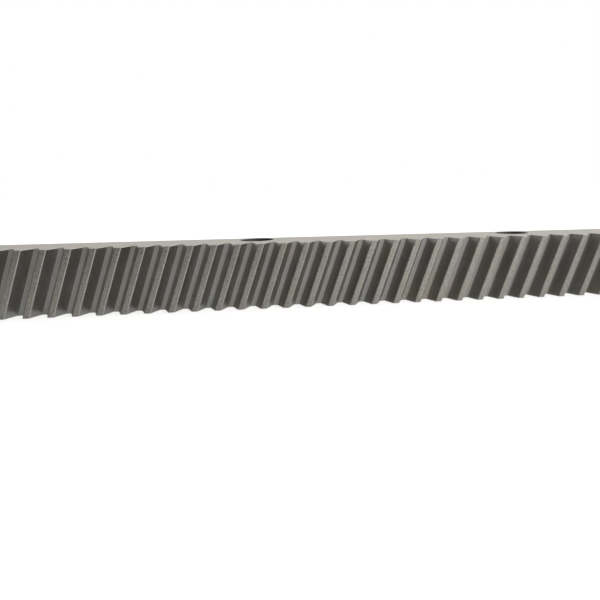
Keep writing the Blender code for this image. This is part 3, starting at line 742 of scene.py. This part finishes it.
def nitrile(name):
    """Matt black seal rubber with a moulded grain and a dusting on its face."""
    clean, dusty = (0.018, 0.018, 0.019, 1), (0.07, 0.068, 0.065, 1)
    nodes = Nodes(name)
    place = nodes.place()
    dust = nodes.noise(place, 260.0, 4.0, 0.6)
    return nodes.finish({
        "Base Color": nodes.mix(nodes.remap(dust, 0.40, 0.72, 0.0, 0.5), clean, dusty),
        "Roughness": nodes.remap(dust, 0.3, 0.7, 0.52, 0.72),
        "Normal": nodes.bump(nodes.noise(place, 3000.0, 4.0, 0.6), 0.02 * MM),
    })


def paint(obj, material):
    obj.data.materials.clear()
    obj.data.materials.append(material)


def angle_smoothing(limit):
    """A node group that shades faces smooth and keeps the edges sharper than the limit."""
    group = bpy.data.node_groups.new("angle_smoothing", "GeometryNodeTree")
    group.interface.new_socket("Geometry", in_out="INPUT", socket_type="NodeSocketGeometry")
    group.interface.new_socket("Geometry", in_out="OUTPUT", socket_type="NodeSocketGeometry")
    source = group.nodes.new("NodeGroupInput")
    faces = group.nodes.new("GeometryNodeSetShadeSmooth")
    edges = group.nodes.new("GeometryNodeSetShadeSmooth")
    edges.domain = "EDGE"
    edges.inputs["Shade Smooth"].default_value = False
    sharp = group.nodes.new("FunctionNodeCompare")
    sharp.operation = "GREATER_THAN"
    sharp.inputs["B"].default_value = limit
    angle = group.nodes.new("GeometryNodeInputMeshEdgeAngle")
    group.links.new(angle.outputs["Unsigned Angle"], sharp.inputs["A"])
    group.links.new(source.outputs[0], faces.inputs["Geometry"])
    group.links.new(faces.outputs[0], edges.inputs["Geometry"])
    group.links.new(sharp.outputs[0], edges.inputs["Selection"])
    group.links.new(edges.outputs[0], group.nodes.new("NodeGroupOutput").inputs[0])
    return group


def soften_edges(obj, width, smoothing):
    """Gives a frame node rounded edges and smooth round faces. Its triangles are joined into faces first."""
    weld = obj.modifiers.new("weld", "WELD")
    weld.merge_threshold = FRAME_MERGE
    flat = obj.modifiers.new("whole_faces", "DECIMATE")
    flat.decimate_type = "DISSOLVE"
    flat.angle_limit = SAME_FACE
    bevel = obj.modifiers.new("edges", "BEVEL")
    bevel.width = width
    bevel.segments = 2
    bevel.limit_method = "ANGLE"
    bevel.angle_limit = BEVEL_ABOVE
    shading = obj.modifiers.new("shading", "NODES")
    shading.node_group = smoothing
    weighted = obj.modifiers.new("flat_faces", "WEIGHTED_NORMAL")
    weighted.keep_sharp = True


def finish_frame_nodes():
    """The record's slot of each node chooses its finish."""
    looks = {
        "shaft_steel": turned_metal("ground_shaft_steel", (0.50, 0.50, 0.49), 0.30, depth=0.0012 * MM),
        "key_steel": turned_metal("drawn_key_steel", (0.46, 0.46, 0.44), 0.32),
        "bearing_steel": turned_metal("bearing_steel", (0.60, 0.60, 0.60), 0.16, depth=0.001 * MM),
        "housing_metal": turned_metal("turned_housing", (0.30, 0.31, 0.32), 0.40, depth=0.008 * MM),
        "cover_metal": turned_metal("turned_cover", (0.36, 0.37, 0.38), 0.34, depth=0.008 * MM),
        "brass": turned_metal("nipple_brass", (0.62, 0.45, 0.18), 0.28),
        "black_steel": black_oxide("black_oxide_steel"),
        "seal_rubber": nitrile("nitrile_rubber"),
    }
    slots = {part["node"]: part["material_slot"] for part in frame["record"]["subparts"]}
    smoothing = angle_smoothing(FRAME_SMOOTHING)
    for node, obj in frame["nodes"].items():
        if slots[node] in looks:
            paint(obj, looks[slots[node]])
            small = "screw" in node or "ring" in node
            soften_edges(obj, SMALL_FRAME_EDGE if small else FRAME_EDGE, smoothing)


# ---------------------------------------------------------------- studio


def add_floor():
    """A plain pale floor. What the camera sees of it is lifted to white, so that shadows on it stay faint."""
    bm = bmesh.new()
    bmesh.ops.create_circle(bm, cap_ends=True, radius=FLOOR_RADIUS, segments=96)
    floor = new_piece("floor", bm, None)
    floor.location.z = -FLOOR_DROP
    nodes = Nodes("white_floor")
    x, y, _ = nodes.split(nodes.place())
    away = nodes.math("ABSOLUTE", nodes.math("SUBTRACT", y, CARD_Y))
    glow = nodes.remap(away, 0.0, CARD_REACH, 1.0, 0.0)
    glow = nodes.math("MULTIPLY", glow, nodes.remap(x, *CARD_X, *CARD_GLOW))
    seen = nodes.add("ShaderNodeLightPath").outputs["Is Camera Ray"]
    paint(floor, nodes.finish({
        "Base Color": FLOOR_COLOUR,
        "Roughness": 0.9,
        "Emission Color": WHITE,
        "Emission Strength": nodes.mix_value(seen, glow, FLOOR_LIFT),
    }))


def add_world():
    """Soft light from behind and from the right, before a backdrop that looks plain white."""
    world = bpy.data.worlds.new("studio")
    bpy.context.scene.world = world
    world.use_nodes = True
    tree = world.node_tree
    sky = tree.nodes["Background"]
    sky.inputs["Color"].default_value = SKY_COLOUR
    direction = tree.nodes.new("ShaderNodeTexCoord").outputs["Generated"]
    towards = tree.nodes.new("ShaderNodeVectorMath")
    towards.operation = "DOT_PRODUCT"
    tree.links.new(direction, towards.inputs[0])
    towards.inputs[1].default_value = Vector(BRIGHT_SIDE).normalized()
    ramp = tree.nodes.new("ShaderNodeMapRange")
    ramp.interpolation_type = "SMOOTHSTEP"
    for field, value in zip(("From Min", "From Max", "To Min", "To Max"), SKY_RAMP + SKY_STRENGTH):
        ramp.inputs[field].default_value = value
    tree.links.new(towards.outputs["Value"], ramp.inputs["Value"])
    tree.links.new(ramp.outputs["Result"], sky.inputs["Strength"])
    backdrop = tree.nodes.new("ShaderNodeBackground")
    backdrop.inputs["Color"].default_value = WHITE
    seen = tree.nodes.new("ShaderNodeLightPath").outputs["Is Camera Ray"]
    choice = tree.nodes.new("ShaderNodeMixShader")
    tree.links.new(seen, choice.inputs[0])
    tree.links.new(sky.outputs[0], choice.inputs[1])
    tree.links.new(backdrop.outputs[0], choice.inputs[2])
    tree.links.new(choice.outputs[0], tree.nodes["World Output"].inputs["Surface"])


def add_light(name, place, target, size, power):
    light = bpy.data.lights.new(name, "AREA")
    light.shape = "SQUARE"
    light.size = size
    light.energy = power
    light.color = LIGHT_COLOUR
    obj = bpy.data.objects.new(name, light)
    bpy.context.scene.collection.objects.link(obj)
    obj.location = place
    obj.rotation_euler = (Vector(target) - Vector(place)).to_track_quat("-Z", "Y").to_euler()
    obj.visible_camera = False


def add_camera():
    data = bpy.data.cameras.new("camera")
    data.lens = LENS
    data.shift_x = SHIFT_X
    data.clip_start = 0.01
    obj = bpy.data.objects.new("camera", data)
    bpy.context.scene.collection.objects.link(obj)
    obj.location = CAMERA_PLACE
    obj.rotation_euler = [math.radians(angle) for angle in CAMERA_ANGLES]
    bpy.context.scene.camera = obj


add_camera()
paint(rack_surface(), cut_steel("rack_steel", *RACK_STEEL, rack_masks))
paint(pinion_surface(), cut_steel("pinion_steel", *PINION_STEEL, pinion_masks))
finish_frame_nodes()
add_floor()
add_world()
add_light("overhead", *OVERHEAD)
add_light("front_key", *FRONT_KEY)
bpy.context.scene.view_settings.view_transform = "Standard"
